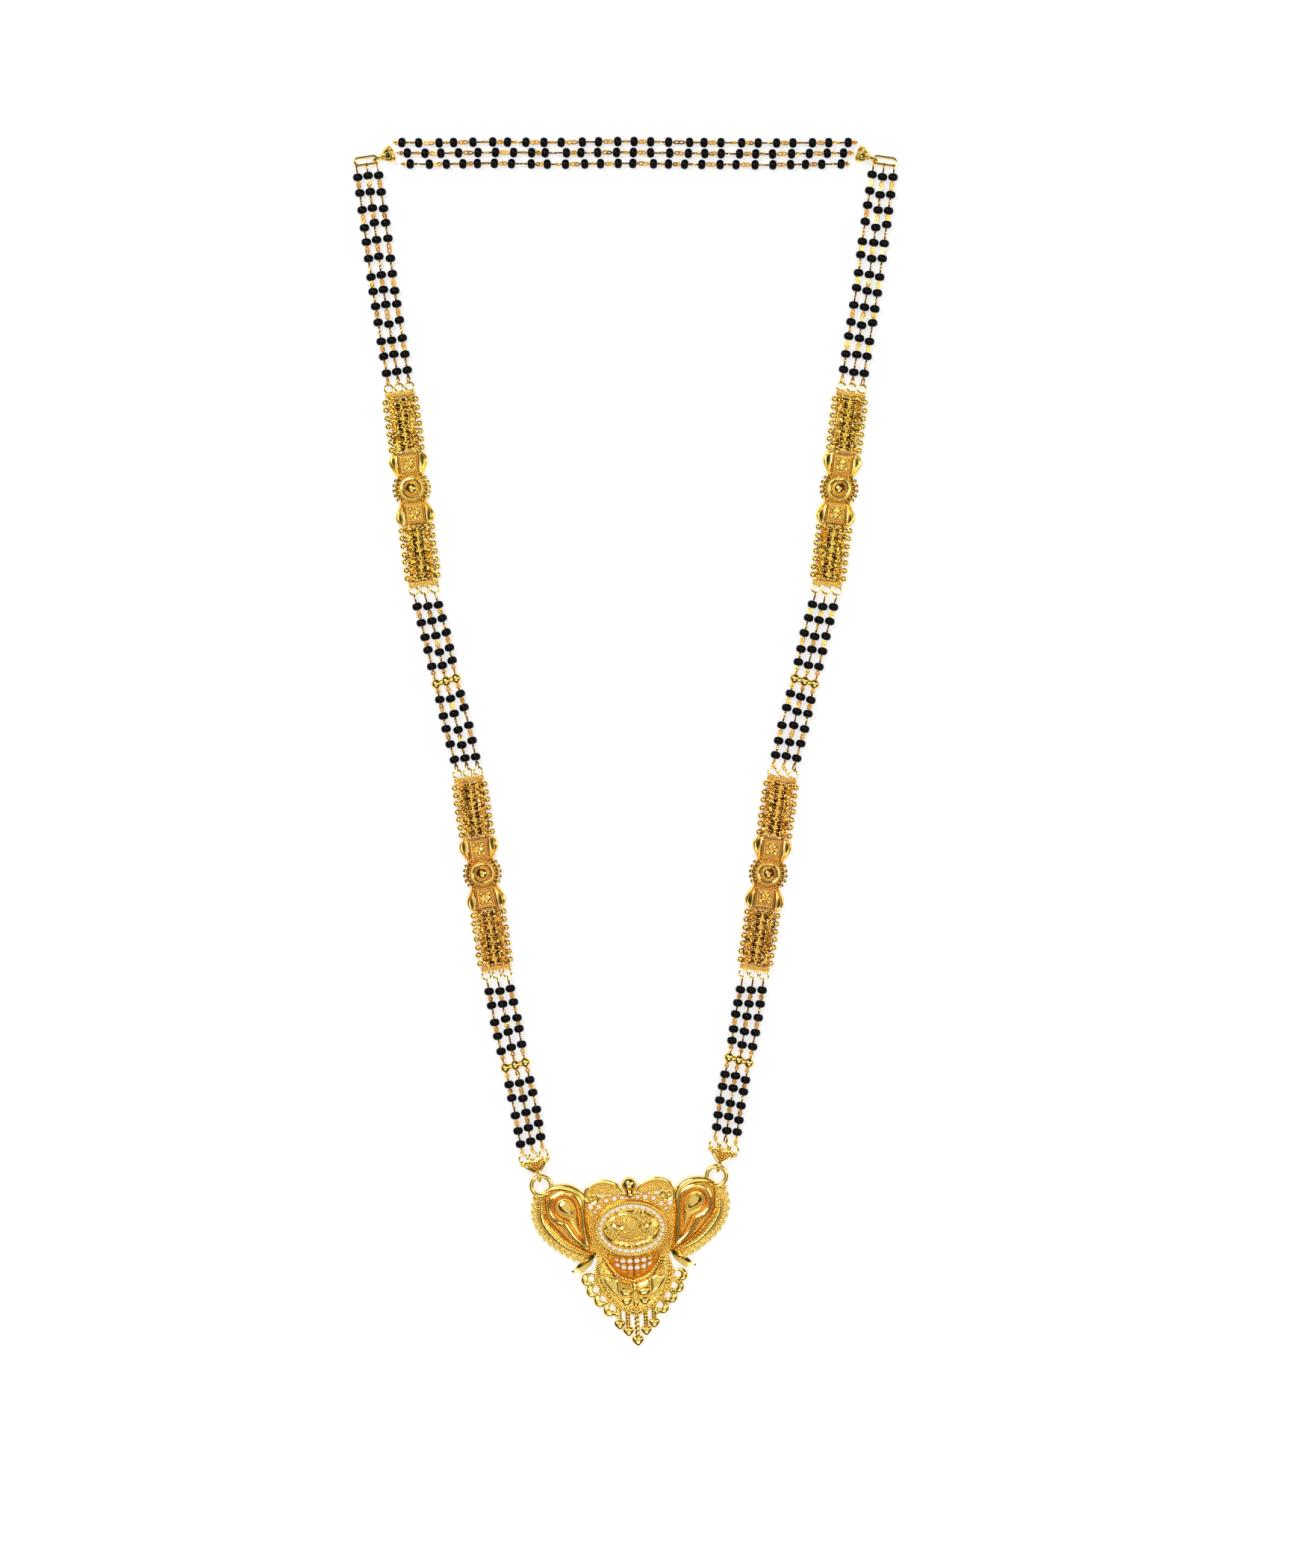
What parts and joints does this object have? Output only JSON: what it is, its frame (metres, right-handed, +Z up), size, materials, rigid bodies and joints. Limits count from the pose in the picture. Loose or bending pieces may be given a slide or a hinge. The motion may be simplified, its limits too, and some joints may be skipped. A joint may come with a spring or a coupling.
{
  "type": "mangalsutra",
  "caption": "Long mangalsutra necklace lying flat: strings of black beads, gold chain and flower panels, round gold spacers and a winged gold pendant with a pierced medallion and drops.",
  "frame": {"origin": "on the surface it lies on, under the middle of the whole necklace's box", "axes": "+Y from the pendant to the back of the neck, +Z up from the surface, +X to the right as seen from above"},
  "size_m": [0.1596, 0.3528, 0.0071],
  "materials": {
    "gold": "polished gold plating",
    "pale_gold": "polished pale gold plating",
    "beads": "glossy black glass beads on gold wire"
  },
  "bodies": {
    "root": {"pendant": "gold", "end_piece_left": "gold", "end_piece_right": "gold", "corner_cap_left": "gold", "corner_cap_right": "gold", "corner_link_left": "gold", "corner_link_right": "gold", "lower_spacer_left": "gold", "lower_spacer_right": "gold", "upper_spacer_left": "gold", "upper_spacer_right": "gold", "lower_left_bar_bottom": "pale_gold", "lower_left_chain_bottom": "pale_gold", "lower_left_motif": "pale_gold", "lower_left_chain_top": "pale_gold", "lower_left_bar_top": "pale_gold", "lower_right_bar_bottom": "pale_gold", "lower_right_chain_bottom": "pale_gold", "lower_right_motif": "pale_gold", "lower_right_chain_top": "pale_gold", "lower_right_bar_top": "pale_gold", "upper_left_bar_bottom": "gold", "upper_left_chain_bottom": "gold", "upper_left_motif": "gold", "upper_left_chain_top": "gold", "upper_left_bar_top": "gold", "upper_right_bar_bottom": "gold", "upper_right_chain_bottom": "gold", "upper_right_motif": "gold", "upper_right_chain_top": "gold", "upper_right_bar_top": "gold", "back_string_1": "beads", "back_string_2": "beads", "back_string_3": "beads", "low_left_string_1": "beads", "low_left_string_2": "beads", "low_left_string_3": "beads", "low_right_string_1": "beads", "low_right_string_2": "beads", "low_right_string_3": "beads", "mid_left_string_1": "beads", "mid_left_string_2": "beads", "mid_left_string_3": "beads", "mid_right_string_1": "beads", "mid_right_string_2": "beads", "mid_right_string_3": "beads", "top_left_string_1": "beads", "top_left_string_2": "beads", "top_left_string_3": "beads", "top_right_string_1": "beads", "top_right_string_2": "beads", "top_right_string_3": "beads"}
  },
  "joints": []
}
